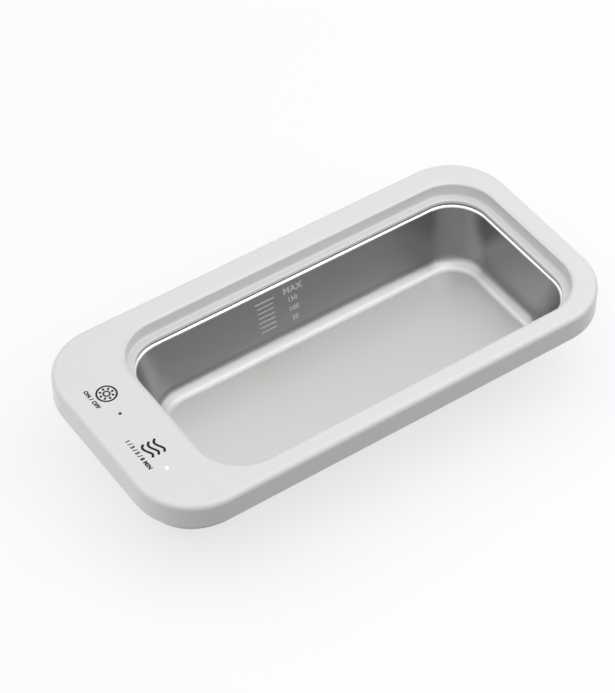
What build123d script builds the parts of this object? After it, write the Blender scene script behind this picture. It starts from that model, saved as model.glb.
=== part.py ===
"""Ultrasonic cleaning tray for lenses and glasses, with a touch panel at one end.

The frame: +Z up, X along the length with the touch panel at -X, Y across.
The origin is on the table under the middle of the body. Sizes are millimetres.
"""
from build123d import *
import math
import os

# ---- outer body -------------------------------------------------------------
body_length = 203.4
body_width = 100.0
corner_radius = 24.5
rim_height = 11.3           # upright side wall that shows all round
rim_wall = 2.2
panel_thickness = 2.2
rim_top_round = 2.2
rim_foot_round = 0.6

# ---- recess for the lid, round the tank's mouth ------------------------------
panel_width = 27.75         # from the panel end to the recess wall
end_margin = 9.1            # from the other end to the recess wall
near_margin = 8.35          # from the long side at -Y to the recess wall
far_margin = 11.0           # from the long side at +Y to the recess wall
recess_depth = 6.4
recess_corner = 18.9
recess_wall = 2.0
recess_slope_width = 1.35   # gentle slope round the recess that leads the lid in
recess_slope_depth = 0.7
recess_slope_round = 0.5
recess_top_round = 0.8
recess_foot_round = 1.0
ledge_width = 3.1
ledge_thickness = 1.4
ledge_round = 0.5

# ---- tank --------------------------------------------------------------------
tank_depth = 24.8           # from the flange's top to the floor
tank_sheet = 0.8
tank_lip = 0.6              # how far the tank's wall stands inside the ledge
tank_lip_round = 1.1
flange_reach = 3.1          # how far the flange runs under the ledge
end_draft = 3.2             # how far each end wall leans in
side_draft = 6.4            # how far each long wall leans in
floor_round = 6.0
foot_corner = 17.0          # corner radius of the tank at its floor
gasket_thickness = 0.8
gasket_setback = 0.6        # how far the gasket stays behind the ledge's edge
clamp_thickness = 1.8
clamp_reach = 3.5           # how far the clamp frame runs past the recess wall
clamp_clearance = 0.7       # between the clamp frame and the tank's wall

# ---- transducers under the tank ------------------------------------------------
transducer_end_distance = 38.3      # from each end of the tank's floor to a transducer
plate_diameter = 42.0
plate_thickness = 1.2
piezo_diameter = 38.0
piezo_thickness = 2.2
transducer_clearance = 3.9  # from the ceramic discs down to the base
solder_radius = 1.1

# ---- lower housing -------------------------------------------------------------
base_thickness = 2.0
hull_wall = 1.9
hull_upright = 3.0          # upright part of the hull below the rim
hull_gap = 0.2              # between the rim's wall and the hull's tongue inside it
hull_side_inset = 23.5      # how far the hull has drawn in at the table, each side
hull_end_inset = 15.0
base_corner = 20.0
base_round = 2.5
foot_height = 1.5
foot_sink = 0.8             # depth of the pocket that holds each foot
foot_diameter = 10.0
foot_clearance = 0.1
foot_round = 0.5
foot_end_distance = 17.0    # from the end of the base's flat to each foot's centre
foot_side_distance = 9.5

# ---- screws ----------------------------------------------------------------------
screw_clearance = 0.05      # between a screw's shank and its pilot hole
screw_round = 0.4           # rounding of a screw's head, as a share of its height
screw_slot_depth = 0.5      # depth of the cross recess, as a share of the head's height
screw_slot_length = 1.1     # length and width of its arms, as shares of the head's radius
screw_slot_width = 0.28
pilot_spare = 0.4           # how much deeper a pilot hole is than its screw
pass_clearance = 0.2        # between a screw's shank and a hole that it passes through
case_screw_radius = 1.2
case_screw_head_radius = 2.1
case_screw_head_height = 1.6
case_screw_grip = 5.0       # length held in the upper housing
case_screw_seat = 2.7       # material under the head
case_screw_distance = 6.5   # from the rounded corner's outline to the screw
case_boss_radius = 2.9
case_boss_gap = 0.1         # between the lower housing's top and the upper housing's bosses
clamp_screw_radius = 0.8
clamp_screw_head_radius = 1.6
clamp_screw_head_height = 1.1
clamp_screw_grip = 5.0
clamp_boss_radius = 1.7
clamp_boss_offset = 1.9     # from the recess wall to the screw
clamp_side_spacing = 110.0  # between the screws along each long side
clamp_end_spacing = 40.0    # between the screws at each end
board_screw_radius = 0.9
board_screw_head_radius = 1.7
board_screw_head_height = 1.1
board_screw_grip = 4.0
board_post_radius = 2.2

# ---- touch panel -------------------------------------------------------------------
key_shift = 1.275           # how far the touch keys lie past the panel's middle, towards the tank
uv_key_inset = 32.8         # from the wall at +Y to the middle of its key
timer_key_inset = 35.7      # from the wall at -Y to the middle of its key
lamp_shift = 1.5            # how far the lamps lie nearer the panel end than the keys
lamp_offset = 11.0          # from each key to its lamp, across the body
light_pipe_radius = 0.6
light_pipe_clearance = 0.05
light_pipe_head_radius = 1.5
light_pipe_head_height = 2.2
lamp_gap = 0.1              # from each lamp to its light pipe
key_pad_diameter = 9.0
key_pad_height = 3.6        # conductive foam between the touch board and the panel
touch_board_rim_gap = 5.1   # from the rim's inner face to the touch board
touch_board_back_gap = 2.5  # from the touch board to the contact board
touch_board_margin = 9.8    # board past the outermost key or lamp
touch_board_thickness = 1.2
touch_board_corner = 2.0
touch_screw_margin = 2.5    # from the board's end to its screw
touch_screw_spare = 0.5     # from the screw's end to the panel
lamp_size = 2.4

# ---- driver board ---------------------------------------------------------------------
board_wall_gap = 1.5        # from the hull's end wall to the board at its underside
board_length = 56.0
board_corner = 8.0
board_thickness = 1.6
board_height = 20.0         # underside of the board above the table
board_tank_gap = 1.8        # from the board to the tank's end wall at its top
board_screw_spacing = 47.0
transformer_size = (8.0, 13.0, 11.5)
transformer_window = (2.0, 8.5)     # width and height of each winding window
row_gap = 0.8               # between the transformer and the inductor
inductor_height = 7.6
filter_diameter = 8.0
filter_height = 11.5
film_size = (6.0, 11.0, 8.5)
sink_size = (4.4, 14.0, 8.4)
sink_fin = 0.9
sink_fins = 5
transistor_size = (1.8, 9.0, 8.0)
part_gap = 1.5              # between neighbouring parts on the driver board
edge_gap = 0.5              # from the outermost parts to the board's edge, and beside the ribbon
ribbon_size = (0.7, 8.0)

# ---- power inlet in the long wall at +Y -------------------------------------------------
inlet_setback = 2.05        # from the recess wall at the panel to the inlet's axis
inlet_body = (8.4, 11.0, 7.6)
inlet_nose_radius = 3.7
inlet_nose_clearance = 0.1
inlet_gap = 0.3             # between the inlet and the lower housing's notch
inlet_drop = 0.6            # how far the inlet's axis lies under the middle of the rim
inlet_bore_radius = 2.8
inlet_bore_depth = 9.2
inlet_pin_radius = 1.0
inlet_pin_length = 8.2
inlet_tail = 1.4            # back wall of the inlet

# ---- sprung contacts for the lid, in the recess wall at the panel ----------------------
contact_spacing = 10.0
contact_height = 2.1        # axis above the ledge
contact_travel = 0.8
contact_reach = 0.9         # how far a pin stands out of the recess wall
contact_pin_radius = 1.0
contact_collar_radius = 1.3
contact_collar_length = 0.6
contact_running_gap = 0.05
contact_spring_room = 1.7   # left for the coil spring when the pin is pressed in
contact_barrel_tail = 0.5
contact_barrel_wall = 0.4
contact_barrel_lip = 0.8
contact_hole_gap = 0.1
contact_board_thickness = 1.0
contact_board_size = (24.0, 6.0)
contact_board_drop = 1.3    # from the contacts' axis down to the middle of their board
contact_nose_round = 0.6    # rounding of a pin's end
stake_radius = 0.8
stake_spacing = 20.0
stake_length = 1.8

# ---- wires --------------------------------------------------------------------------------
lead_radius = 0.65
lead_bend = 4.0
lead_spacing = 6.0
lead_gap = 0.15             # between a wire and the board that it passes under

# ---- heights, worked out from the table up -----------------------------------------------
base_top = foot_height + base_thickness
piezo_z = base_top + transducer_clearance
plate_z = piezo_z + piezo_thickness
tank_bottom = plate_z + plate_thickness
tank_floor = tank_bottom + tank_sheet
flange_top = tank_floor + tank_depth
flange_bottom = flange_top - tank_sheet
clamp_bottom = flange_bottom - clamp_thickness
ledge_bottom = flange_top + gasket_thickness
ledge_top = ledge_bottom + ledge_thickness
body_top = ledge_top + recess_depth
panel_bottom = body_top - panel_thickness
rim_bottom = body_top - rim_height
hull_shoulder = rim_bottom - hull_upright
tongue_top = ledge_bottom - case_boss_gap
case_seat_z = tongue_top - case_screw_seat

# ---- plan sizes, worked out from the outline in --------------------------------------------
panel_end = -body_length / 2
recess_length = body_length - panel_width - end_margin
recess_width = body_width - near_margin - far_margin
recess_x = (panel_width - end_margin) / 2
recess_y = (near_margin - far_margin) / 2
recess_wall_x = panel_end + panel_width
slope_length = recess_length + 2 * recess_slope_width
slope_width = recess_width + 2 * recess_slope_width
slope_corner = recess_corner + recess_slope_width
slope_foot = body_top - recess_slope_depth
opening_length = recess_length - 2 * ledge_width
opening_width = recess_width - 2 * ledge_width
opening_corner = recess_corner - ledge_width
mouth_length = opening_length - 2 * tank_lip
mouth_width = opening_width - 2 * tank_lip
mouth_corner = opening_corner - tank_lip
hull_offset = rim_wall + hull_gap
key_x = panel_end + panel_width / 2 + key_shift
lamp_x = key_x - lamp_shift
keys = (body_width / 2 - uv_key_inset, timer_key_inset - body_width / 2)
lamps = tuple(y - lamp_offset for y in keys)


def slab(length, width, radius, z_low, z_high, x=0.0, y=0.0):
    """An upright slab with rounded corners, centred on (x, y)."""
    outline = Pos(x, y, z_low) * RectangleRounded(length, width, radius)
    return extrude(outline, z_high - z_low)


def rod(radius, z_low, z_high, x=0.0, y=0.0):
    """An upright round rod."""
    return Pos(x, y, z_low) * Cylinder(radius, z_high - z_low, align=(Align.CENTER, Align.CENTER, Align.MIN))


def rod_x(radius, x_low, x_high, y, z):
    """A round rod along X."""
    turned = Rot(0, 90, 0) * Cylinder(radius, x_high - x_low, align=(Align.CENTER, Align.CENTER, Align.MIN))
    return Pos(x_low, y, z) * turned


def rod_y(radius, y_low, y_high, x, z):
    """A round rod along Y."""
    turned = Rot(-90, 0, 0) * Cylinder(radius, y_high - y_low, align=(Align.CENTER, Align.CENTER, Align.MIN))
    return Pos(x, y_low, z) * turned


def block(size, x, y, z_low):
    """A plain block of the given size that stands on z_low."""
    return Pos(x, y, z_low) * Box(*size, align=(Align.CENTER, Align.CENTER, Align.MIN))


def edges_at(part, z):
    """The edges of a part that lie flat at one height."""
    tolerance = 0.001
    return [e for e in part.edges() if abs(e.bounding_box().min.Z - z) < tolerance
            and abs(e.bounding_box().max.Z - z) < tolerance]


def ring_edges(part, z, length, width):
    """The flat edges at one height that lie on a rounded rectangle round the recess's middle."""
    tolerance = 0.01
    found = []
    for edge in edges_at(part, z):
        box = edge.bounding_box()
        reach_x = max(abs(box.min.X - recess_x), abs(box.max.X - recess_x)) - length / 2
        reach_y = max(abs(box.min.Y - recess_y), abs(box.max.Y - recess_y)) - width / 2
        if max(reach_x, reach_y) < tolerance and max(reach_x, reach_y) > -tolerance:
            found.append(edge)
    return found


def corner_points():
    """The four case screws, each on its rounded corner's diagonal."""
    reach = (corner_radius - case_screw_distance) / math.sqrt(2)
    x = body_length / 2 - corner_radius + reach
    y = body_width / 2 - corner_radius + reach
    return [(sx * x, sy * y) for sx in (-1, 1) for sy in (-1, 1)]


def clamp_points():
    """The clamp frame's screws, outside the recess wall."""
    x_end = recess_length / 2 + clamp_boss_offset
    y_side = recess_width / 2 + clamp_boss_offset
    sides = [(sx * clamp_side_spacing / 2, sy * y_side) for sx in (-1, 1) for sy in (-1, 1)]
    ends = [(sx * x_end, sy * clamp_end_spacing / 2) for sx in (-1, 1) for sy in (-1, 1)]
    return [(recess_x + x, recess_y + y) for x, y in sides + ends]


def contact_points():
    """Y of each sprung contact."""
    return (contact_spacing / 2, -contact_spacing / 2)


def screw(radius, length, head_radius, head_height, x, y, seat_z, upward):
    """A screw with a pan head and a cross recess; the shank runs up or down from its seat."""
    sign = 1 if upward else -1
    if upward:
        shank = rod(radius, seat_z, seat_z + length, x, y)
        head = rod(head_radius, seat_z - head_height, seat_z, x, y)
    else:
        shank = rod(radius, seat_z - length, seat_z, x, y)
        head = rod(head_radius, seat_z, seat_z + head_height, x, y)
    outer_face = seat_z - sign * head_height
    head = fillet(edges_at(head, outer_face), head_height * screw_round)
    depth = head_height * screw_slot_depth
    slot_z = outer_face if upward else outer_face - depth
    long_side = head_radius * screw_slot_length
    short_side = head_radius * screw_slot_width
    cross = block((long_side, short_side, depth), x, y, slot_z)
    cross += block((short_side, long_side, depth), x, y, slot_z)
    return shank + head - cross


# ---- upper housing ---------------------------------------------------------------------------
inlet_x = recess_wall_x - inlet_setback
inlet_z = (rim_bottom + body_top) / 2 - inlet_drop
inlet_front = body_width / 2
inlet_seat = inlet_front - rim_wall
inlet_middle = inlet_seat - inlet_body[1] / 2
touch_board_back = recess_wall_x - recess_wall - contact_board_thickness - touch_board_back_gap
touch_board_front = panel_end + rim_wall + touch_board_rim_gap
touch_board_width = touch_board_back - touch_board_front
touch_board_x = (touch_board_back + touch_board_front) / 2
touch_board_top = panel_bottom - key_pad_height
touch_board_bottom = touch_board_top - touch_board_thickness
touch_board_low = min(lamps) - touch_board_margin
touch_board_high = max(keys) + touch_board_margin
touch_screw_ys = (touch_board_low + touch_screw_margin, touch_board_high - touch_screw_margin)
contact_z = ledge_top + contact_height
contact_barrel_radius = contact_collar_radius + contact_running_gap + contact_barrel_wall
contact_collar_room = contact_running_gap + contact_collar_length + contact_travel + contact_spring_room
contact_barrel_length = contact_barrel_lip + contact_collar_room + contact_barrel_tail


def upper_housing():
    """The white moulding: panel, rim, the recess for the lid and the ledge round the tank's mouth."""
    shell = slab(body_length, body_width, corner_radius, rim_bottom, body_top)
    shell = fillet(edges_at(shell, body_top), rim_top_round)
    shell = fillet(edges_at(shell, rim_bottom), rim_foot_round)
    hollow = slab(body_length - 2 * rim_wall, body_width - 2 * rim_wall, corner_radius - rim_wall,
                  rim_bottom, panel_bottom)
    tray = slab(recess_length + 2 * recess_wall, recess_width + 2 * recess_wall,
                recess_corner + recess_wall, ledge_bottom, body_top, recess_x, recess_y)
    shell -= hollow - tray
    shell -= slab(recess_length, recess_width, recess_corner, ledge_top, body_top, recess_x, recess_y)
    shell -= slab(opening_length, opening_width, opening_corner, ledge_bottom, ledge_top, recess_x, recess_y)
    slope_low = Pos(recess_x, recess_y, slope_foot) * RectangleRounded(recess_length, recess_width, recess_corner)
    slope_high = Pos(recess_x, recess_y, body_top) * RectangleRounded(slope_length, slope_width, slope_corner)
    shell -= loft([slope_low, slope_high], ruled=True)
    shell = fillet(ring_edges(shell, body_top, slope_length, slope_width), recess_top_round)
    shell = fillet(ring_edges(shell, slope_foot, recess_length, recess_width), recess_slope_round)
    shell = fillet(ring_edges(shell, ledge_top, recess_length, recess_width), recess_foot_round)
    shell = fillet(ring_edges(shell, ledge_top, opening_length, opening_width), ledge_round)

    for x, y in corner_points():
        shell += rod(case_boss_radius, ledge_bottom, panel_bottom, x, y)
        pilot_top = ledge_bottom + case_screw_grip + pilot_spare
        shell -= rod(case_screw_radius + screw_clearance, ledge_bottom, pilot_top, x, y)
    for x, y in clamp_points():
        shell += rod(clamp_boss_radius, flange_bottom, panel_bottom, x, y)
        pilot_top = flange_bottom + clamp_screw_grip + pilot_spare
        shell -= rod(clamp_screw_radius + screw_clearance, flange_bottom, pilot_top, x, y)
    for y in touch_screw_ys:
        shell += rod(board_post_radius, touch_board_top, panel_bottom, touch_board_x, y)
        shell -= rod(board_screw_radius + screw_clearance, touch_board_top, panel_bottom, touch_board_x, y)
    for y in lamps:
        shell -= rod(light_pipe_radius + light_pipe_clearance, panel_bottom, body_top, lamp_x, y)
    wall_back = recess_wall_x - recess_wall
    for y in contact_points():
        shell -= rod_x(contact_barrel_radius + contact_hole_gap, wall_back, recess_wall_x, y, contact_z)
    for side in (-1, 1):
        shell += rod_x(stake_radius, wall_back - stake_length, wall_back, side * stake_spacing / 2, contact_z)
    shell -= rod_y(inlet_nose_radius + inlet_nose_clearance, inlet_seat, inlet_front, inlet_x, inlet_z)
    grow = 2 * inlet_nose_clearance
    pocket = (inlet_body[0] + grow, inlet_body[1], inlet_body[2] + grow)
    shell -= block(pocket, inlet_x, inlet_middle, inlet_z - pocket[2] / 2)
    return shell


# ---- lower housing ------------------------------------------------------------------------------
hull_height = hull_shoulder - foot_height
side_slope = (hull_side_inset - hull_offset) / hull_height
end_slope = (hull_end_inset - hull_offset) / hull_height
side_skin = hull_wall / math.cos(math.atan(side_slope))
end_skin = hull_wall / math.cos(math.atan(end_slope))


def hull_section(z, skin=0.0):
    """Plan size and corner radius of the hull at one height; skin moves it inward by the wall."""
    share = (hull_shoulder - z) / hull_height
    end_inset = hull_offset + share * (hull_end_inset - hull_offset) + skin * end_skin
    side_inset = hull_offset + share * (hull_side_inset - hull_offset) + skin * side_skin
    top_corner = corner_radius - hull_offset
    corner = top_corner + share * (base_corner - top_corner) - skin * hull_wall
    return body_length - 2 * end_inset, body_width - 2 * side_inset, corner


def hull_taper(z_low, z_high, skin):
    """The drawn-in part of the hull as a solid between two heights."""
    low = Pos(0, 0, z_low) * RectangleRounded(*hull_section(z_low, skin))
    high = Pos(0, 0, z_high) * RectangleRounded(*hull_section(z_high, skin))
    return loft([low, high], ruled=True)


board_inner_x = recess_wall_x + ledge_width + tank_lip - board_tank_gap
board_outer_x = board_wall_gap - hull_section(board_height, 1)[0] / 2
board_width = board_inner_x - board_outer_x
board_x = (board_inner_x + board_outer_x) / 2
board_top = board_height + board_thickness
foot_points = [(sx * (body_length / 2 - hull_end_inset - foot_end_distance),
                sy * (body_width / 2 - hull_side_inset - foot_side_distance))
               for sx in (-1, 1) for sy in (-1, 1)]


def lower_housing():
    """The hull that draws in below the rim, with its base, screw wells and board posts."""
    length, width, corner = hull_section(hull_shoulder)
    outside = hull_taper(foot_height, hull_shoulder, 0)
    outside = fillet(edges_at(outside, foot_height), base_round)
    outside += slab(length, width, corner, hull_shoulder, tongue_top)
    inner_length = length - 2 * hull_wall
    inner_width = width - 2 * hull_wall
    inside = hull_taper(base_top, hull_shoulder, 1)
    inside += slab(inner_length, inner_width, corner - hull_wall, hull_shoulder, tongue_top)
    hull = outside - inside

    for x, y in corner_points():
        hull += rod(case_boss_radius, foot_height, tongue_top, x, y) & outside
        hull -= rod(case_screw_radius + pass_clearance, foot_height, tongue_top, x, y)
        hull -= rod(case_screw_head_radius + pass_clearance, foot_height, case_seat_z, x, y)
    for side in (-1, 1):
        y = side * board_screw_spacing / 2
        hull += rod(board_post_radius, foot_height, board_height, board_x, y) & outside
        pilot_low = board_height - board_screw_grip - pilot_spare
        hull -= rod(board_screw_radius + screw_clearance, pilot_low, board_height, board_x, y)
    for x, y in foot_points:
        hull -= rod(foot_diameter / 2 + foot_clearance, foot_height, foot_height + foot_sink, x, y)
    notch = (inlet_body[0] + 2 * inlet_gap, inlet_body[1], inlet_body[2])
    hull -= block(notch, inlet_x, inlet_middle, inlet_z - inlet_body[2] / 2 - inlet_gap)
    return hull


def foot(x, y):
    """A round rubber foot in its pocket."""
    pad = rod(foot_diameter / 2, 0, foot_height + foot_sink, x, y)
    return fillet(edges_at(pad, 0), foot_round)


# ---- tank and what holds it -----------------------------------------------------------------------
def pan(grow, z_low, z_high, corner_fillet):
    """The tank's tapered space as a solid; grow moves the walls outward."""
    high = Pos(recess_x, recess_y, z_high) * RectangleRounded(
        mouth_length + 2 * grow, mouth_width + 2 * grow, mouth_corner + grow)
    low = Pos(recess_x, recess_y, z_low) * RectangleRounded(
        mouth_length - 2 * end_draft + 2 * grow, mouth_width - 2 * side_draft + 2 * grow, foot_corner + grow)
    solid = loft([low, high], ruled=True)
    return fillet(edges_at(solid, z_low), corner_fillet)


def tank():
    """The drawn steel pan with its flange."""
    body = pan(tank_sheet, tank_bottom, flange_top, floor_round + tank_sheet)
    flange = slab(opening_length + 2 * flange_reach, opening_width + 2 * flange_reach,
                  opening_corner + flange_reach, flange_bottom, flange_top, recess_x, recess_y)
    steel = body + flange - pan(0, tank_floor, flange_top, floor_round)
    return fillet(ring_edges(steel, flange_top, mouth_length, mouth_width), tank_lip_round)


def tank_gasket():
    """The flat seal between the flange and the ledge."""
    outer = slab(opening_length + 2 * flange_reach, opening_width + 2 * flange_reach,
                 opening_corner + flange_reach, flange_top, ledge_bottom, recess_x, recess_y)
    return outer - slab(opening_length + 2 * gasket_setback, opening_width + 2 * gasket_setback,
                        opening_corner + gasket_setback, flange_top, ledge_bottom, recess_x, recess_y)


def clamp_frame():
    """The plastic frame that presses the flange up against the ledge."""
    inset = tank_sheet + clamp_clearance
    frame = slab(recess_length + 2 * clamp_reach, recess_width + 2 * clamp_reach,
                 recess_corner + clamp_reach, clamp_bottom, flange_bottom, recess_x, recess_y)
    frame -= slab(mouth_length + 2 * inset, mouth_width + 2 * inset, mouth_corner + inset,
                  clamp_bottom, flange_bottom, recess_x, recess_y)
    for x, y in clamp_points():
        frame -= rod(clamp_screw_radius + pass_clearance, clamp_bottom, flange_bottom, x, y)
    for x, y in corner_points():
        frame -= rod(case_boss_radius + clamp_clearance, clamp_bottom, flange_bottom, x, y)
    return frame


# ---- transducers ---------------------------------------------------------------------------------
transducer_reach = mouth_length / 2 - end_draft - transducer_end_distance
transducer_xs = (recess_x - transducer_reach, recess_x + transducer_reach)
lead_ys = (recess_y + lead_spacing / 2, recess_y - lead_spacing / 2)


def wire(points):
    """A round wire along straight runs joined by bends."""
    route = FilletPolyline(*points, radius=lead_bend)
    section = Plane(origin=points[0], z_dir=route % 0) * Circle(lead_radius)
    return sweep(section, path=route)


def transducer_lead(x_start, y):
    """The wire from a ceramic disc's solder joint along the base and up to the driver board."""
    z_run = (base_top + piezo_z) / 2
    x_rise = board_inner_x - lead_bend
    lead = wire([(x_start, y, z_run), (x_rise, y, z_run), (x_rise, y, board_height)])
    return lead + rod(solder_radius, z_run, piezo_z, x_start, y)


# ---- touch board, keys and lamps -------------------------------------------------------------------
def touch_board():
    """The small board under the panel."""
    length = touch_board_high - touch_board_low
    middle = (touch_board_high + touch_board_low) / 2
    board = slab(touch_board_width, length, touch_board_corner, touch_board_bottom, touch_board_top)
    board = Pos(touch_board_x, middle, 0) * board
    for y in touch_screw_ys:
        board -= rod(board_screw_radius + pass_clearance, touch_board_bottom, touch_board_top,
                     touch_board_x, y)
    return board


def touch_key_pad(y):
    """A conductive foam column that carries the panel's touch to the board."""
    return rod(key_pad_diameter / 2, touch_board_top, panel_bottom, key_x, y)


lamp_height = key_pad_height - light_pipe_head_height - lamp_gap


def lamp(y):
    """A surface-mounted lamp under its light pipe."""
    return block((lamp_size, lamp_size, lamp_height), lamp_x, y, touch_board_top)


def light_pipe(y):
    """A clear pin with a collar that shows the lamp on the panel's face."""
    collar_top = panel_bottom
    pipe = rod(light_pipe_radius, collar_top, body_top, lamp_x, y)
    return pipe + rod(light_pipe_head_radius, collar_top - light_pipe_head_height, collar_top, lamp_x, y)


# ---- driver board and its parts -----------------------------------------------------------------------
def driver_board():
    """The board that drives the transducers."""
    board = Pos(board_x, 0, board_height) * RectangleRounded(board_width, board_length, board_corner)
    board = extrude(board, board_thickness)
    for side in (-1, 1):
        y = side * board_screw_spacing / 2
        board -= rod(board_screw_radius + pass_clearance, board_height, board_top, board_x, y)
    return board


outer_row = board_outer_x + ribbon_size[0] + 2 * edge_gap + transformer_size[0] / 2
inductor_diameter = board_inner_x - edge_gap - row_gap - outer_row - transformer_size[0] / 2
inner_row = board_inner_x - edge_gap - inductor_diameter / 2
transformer_y = 2 * part_gap + transformer_size[1] / 2
inductor_y = 2 * part_gap + inductor_diameter / 2
film_y = -(part_gap + film_size[1] / 2)
filter_y = film_y - film_size[1] / 2 - part_gap - filter_diameter / 2
sink_x = board_inner_x - edge_gap - sink_size[0] / 2
sink_y = -(part_gap + sink_size[1] / 2)


def driver_transformer():
    """Ferrite halves round a wound bobbin, with a window each side of the middle leg."""
    width, height = transformer_window
    core = block(transformer_size, outer_row, transformer_y, board_top)
    for side in (-1, 1):
        y = transformer_y + side * transformer_size[1] / 4
        window = (transformer_size[0], width, height)
        core -= block(window, outer_row, y, board_top + (transformer_size[2] - height) / 2)
    return core


def drive_inductor():
    """A choke on a drum core."""
    flange = inductor_height / 6
    drum = rod(inductor_diameter / 2, board_top, board_top + inductor_height, inner_row, inductor_y)
    band = (board_top + flange, board_top + inductor_height - flange)
    groove = rod(inductor_diameter / 2, *band, inner_row, inductor_y)
    groove -= rod(inductor_diameter / 2 - flange / 2, *band, inner_row, inductor_y)
    return drum - groove


def filter_capacitor():
    """An upright can capacitor."""
    can = rod(filter_diameter / 2, board_top, board_top + filter_height, outer_row, filter_y)
    return fillet(edges_at(can, board_top + filter_height), filter_diameter / 12)


def film_capacitor():
    """A boxed film capacitor."""
    box = block(film_size, outer_row, film_y, board_top)
    return fillet(edges_at(box, board_top + film_size[2]), film_size[0] / 10)


def heat_sink():
    """A finned block beside the transistor."""
    sink = block(sink_size, sink_x, sink_y, board_top)
    pitch = (sink_size[1] - sink_fin) / (sink_fins - 1)
    slot = (sink_size[0] / 2, pitch - sink_fin, sink_size[2])
    for k in range(sink_fins - 1):
        y = sink_y - sink_size[1] / 2 + sink_fin + (k + 0.5) * pitch - sink_fin / 2
        sink -= block(slot, sink_x + sink_size[0] / 4, y, board_top)
    return sink


def power_transistor():
    """The transistor that stands against the heat sink."""
    x = sink_x - sink_size[0] / 2 - transistor_size[0] / 2
    return block(transistor_size, x, sink_y, board_top)


def touch_ribbon():
    """The flat cable between the touch board and the driver board."""
    x = board_outer_x + edge_gap + ribbon_size[0] / 2
    return block((*ribbon_size, touch_board_bottom - board_top), x, 0, board_top)


# ---- power inlet -----------------------------------------------------------------------------------------
def power_inlet():
    """The socket behind the long wall: a body, a round nose through the wall and its bore."""
    body = block(inlet_body, inlet_x, inlet_middle, inlet_z - inlet_body[2] / 2)
    body += rod_y(inlet_nose_radius, inlet_seat, inlet_front, inlet_x, inlet_z)
    return body - rod_y(inlet_bore_radius, inlet_front - inlet_bore_depth, inlet_front, inlet_x, inlet_z)


def inlet_pin():
    """The socket's centre pin."""
    foot_y = inlet_front - inlet_bore_depth
    pin = rod_y(inlet_pin_radius, foot_y, foot_y + inlet_pin_length, inlet_x, inlet_z)
    tip = pin.faces().sort_by(Axis.Y)[-1]
    return fillet(tip.edges(), inlet_pin_radius / 2)


def inlet_lead():
    """The wire from the inlet's back to the driver board."""
    x = inlet_x - inlet_body[0] / 2 + lead_radius + edge_gap
    y_back = inlet_seat - inlet_body[1]
    y_drop = board_length / 2 - part_gap
    z = touch_board_bottom - lead_radius - lead_gap
    return wire([(x, y_back, z), (x, y_drop, z), (x, y_drop, board_top)])


# ---- sprung contacts ---------------------------------------------------------------------------------------
contact_back = recess_wall_x - recess_wall


def contact_board():
    """The small board on the back of the recess wall that carries the contacts."""
    size = (contact_board_thickness, *contact_board_size)
    x = contact_back - contact_board_thickness / 2
    board = block(size, x, 0, contact_z - contact_board_drop - contact_board_size[1] / 2)
    x_low = contact_back - contact_board_thickness
    for y in contact_points():
        board -= rod_x(contact_barrel_radius + contact_hole_gap, x_low, contact_back, y, contact_z)
    for side in (-1, 1):
        board -= rod_x(stake_radius + contact_hole_gap, x_low, contact_back, side * stake_spacing / 2,
                       contact_z)
    return board


def contact_barrel(y):
    """The fixed sleeve of one contact, with a lip that keeps the pin's collar in."""
    tail = recess_wall_x - contact_barrel_length
    bore_end = recess_wall_x - contact_barrel_lip
    barrel = rod_x(contact_barrel_radius, tail, recess_wall_x, y, contact_z)
    barrel -= rod_x(contact_collar_radius + contact_running_gap, tail + contact_barrel_tail, bore_end,
                    y, contact_z)
    return barrel - rod_x(contact_pin_radius + contact_running_gap, bore_end, recess_wall_x, y, contact_z)


def contact_pin(y):
    """The plunger of one contact: a collar inside the sleeve and a round-nosed pin."""
    collar_front = recess_wall_x - contact_barrel_lip - contact_running_gap
    pin = rod_x(contact_pin_radius, collar_front, recess_wall_x + contact_reach, y, contact_z)
    pin = fillet(pin.faces().sort_by(Axis.X)[-1].edges(), contact_nose_round)
    collar_back = collar_front - contact_collar_length
    return pin + rod_x(contact_collar_radius, collar_back, collar_front, y, contact_z)


def contact_lead():
    """The wire from the contact board down to the driver board."""
    x_start = contact_back - contact_board_thickness
    x_drop = x_start - lead_radius - part_gap - lead_radius
    z = touch_board_bottom - lead_radius - lead_gap
    route = FilletPolyline((x_start, 0, z), (x_drop, 0, z), (x_drop, 0, board_top), radius=lead_bend / 2)
    section = Plane(origin=(x_start, 0, z), z_dir=(-1, 0, 0)) * Circle(lead_radius)
    return sweep(section, path=route)


# ---- screws ---------------------------------------------------------------------------------------
def case_screws():
    """The screws that hold the two housings together, from below."""
    length = case_screw_seat + case_boss_gap + case_screw_grip
    return Compound([screw(case_screw_radius, length, case_screw_head_radius, case_screw_head_height,
                           x, y, case_seat_z, True) for x, y in corner_points()])


def clamp_screws():
    """The screws that hold the clamp frame up against the tank's flange."""
    length = clamp_thickness + clamp_screw_grip
    return Compound([screw(clamp_screw_radius, length, clamp_screw_head_radius, clamp_screw_head_height,
                           x, y, clamp_bottom, True) for x, y in clamp_points()])


def board_screws():
    """The screws that hold the driver board down on its posts."""
    length = board_thickness + board_screw_grip
    return Compound([screw(board_screw_radius, length, board_screw_head_radius, board_screw_head_height,
                           board_x, side * board_screw_spacing / 2, board_top, False) for side in (-1, 1)])


def touch_screws():
    """The screws that hold the touch board up on its posts."""
    length = touch_board_thickness + key_pad_height - touch_screw_spare
    return Compound([screw(board_screw_radius, length, board_screw_head_radius, board_screw_head_height,
                           touch_board_x, y, touch_board_bottom, True) for y in touch_screw_ys])


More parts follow.
